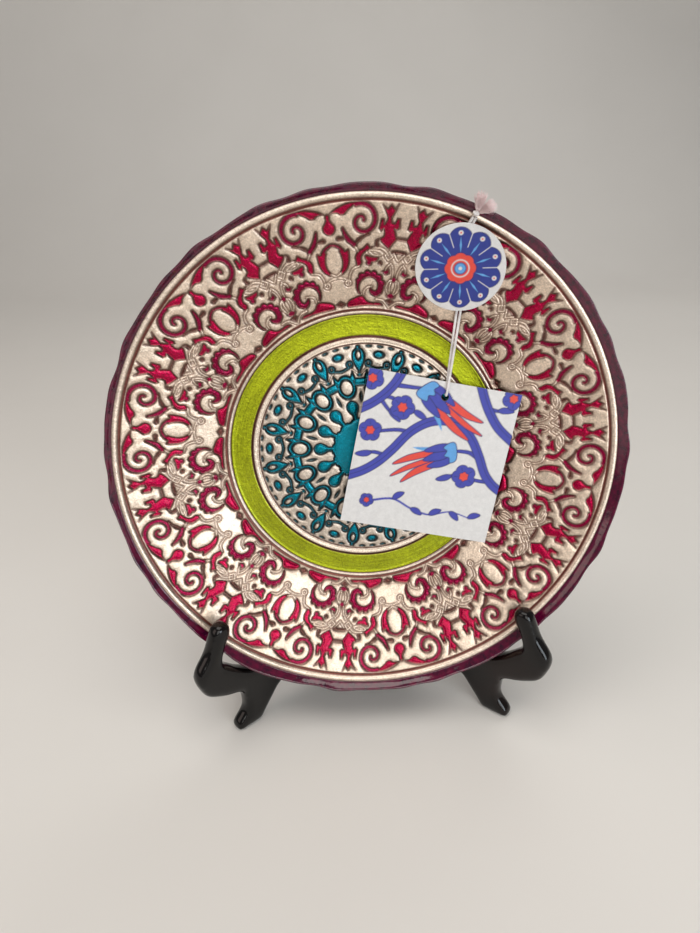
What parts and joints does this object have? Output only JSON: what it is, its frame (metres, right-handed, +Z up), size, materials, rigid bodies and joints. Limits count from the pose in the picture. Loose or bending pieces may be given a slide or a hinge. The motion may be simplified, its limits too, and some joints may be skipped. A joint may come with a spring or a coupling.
{
  "type": "souvenir display plate on folding stand",
  "caption": "Round glass souvenir plate with an ornate gilded relief rim, leaning in a folding lacquered wooden easel stand, with a round label and a hanging square card.",
  "frame": {"origin": "middle of the footprint, on the tabletop", "axes": "+Z up, -Y towards someone facing the plate, +X to that person's right"},
  "size_m": [0.25, 0.077, 0.2685],
  "materials": {
    "plate_glass": "moulded glass painted gold, magenta and green on its face under a clear gloss",
    "label_paper": "coated paper",
    "card_board": "printed matt card",
    "cord": "twisted thread",
    "cord_fibres": "loose frayed fibres",
    "lacquered_wood": "black gloss lacquer",
    "pin_brass": "satin"
  },
  "bodies": {
    "stand": {"stand_leaf_right": "lacquered_wood", "hinge_pin": "pin_brass"},
    "folding_leaf": {"stand_leaf_left": "lacquered_wood"},
    "plate": {"glass_plate": "plate_glass", "round_label": "label_paper", "cord_neck": "cord", "cord_knot": "cord", "frayed_end_left": "cord_fibres", "frayed_end_right": "cord_fibres"},
    "tag_cord": {"cord_loop": "cord"},
    "card": {"card_tag": "card_board"}
  },
  "joints": [
    {"name": "plate_lift", "type": "slide", "parent": "stand", "child": "plate", "axis": [0, 0.1896, 0.9819], "range_m": [0, 0.25]},
    {"name": "leaf_fold", "type": "hinge", "parent": "stand", "child": "folding_leaf", "pos_m": [0, 0.03116, 0.066], "axis": [0, 0, 1], "range_deg": [0, 100.4]},
    {"name": "tag_swing", "type": "hinge", "parent": "plate", "child": "tag_cord", "pos_m": [0.0449, 0.02722, 0.20884], "axis": [0, -0.9819, 0.1896], "range_deg": [-22, 0]},
    {"name": "card_turn", "type": "hinge", "parent": "tag_cord", "child": "card", "pos_m": [0.03892, 0.01971, 0.16861], "axis": [0, -0.9819, 0.1896], "range_deg": [-35, 0]}
  ],
  "couplings": [
    {"joint": "leaf_fold", "follows": "plate_lift", "rad_per_m": 7}
  ]
}
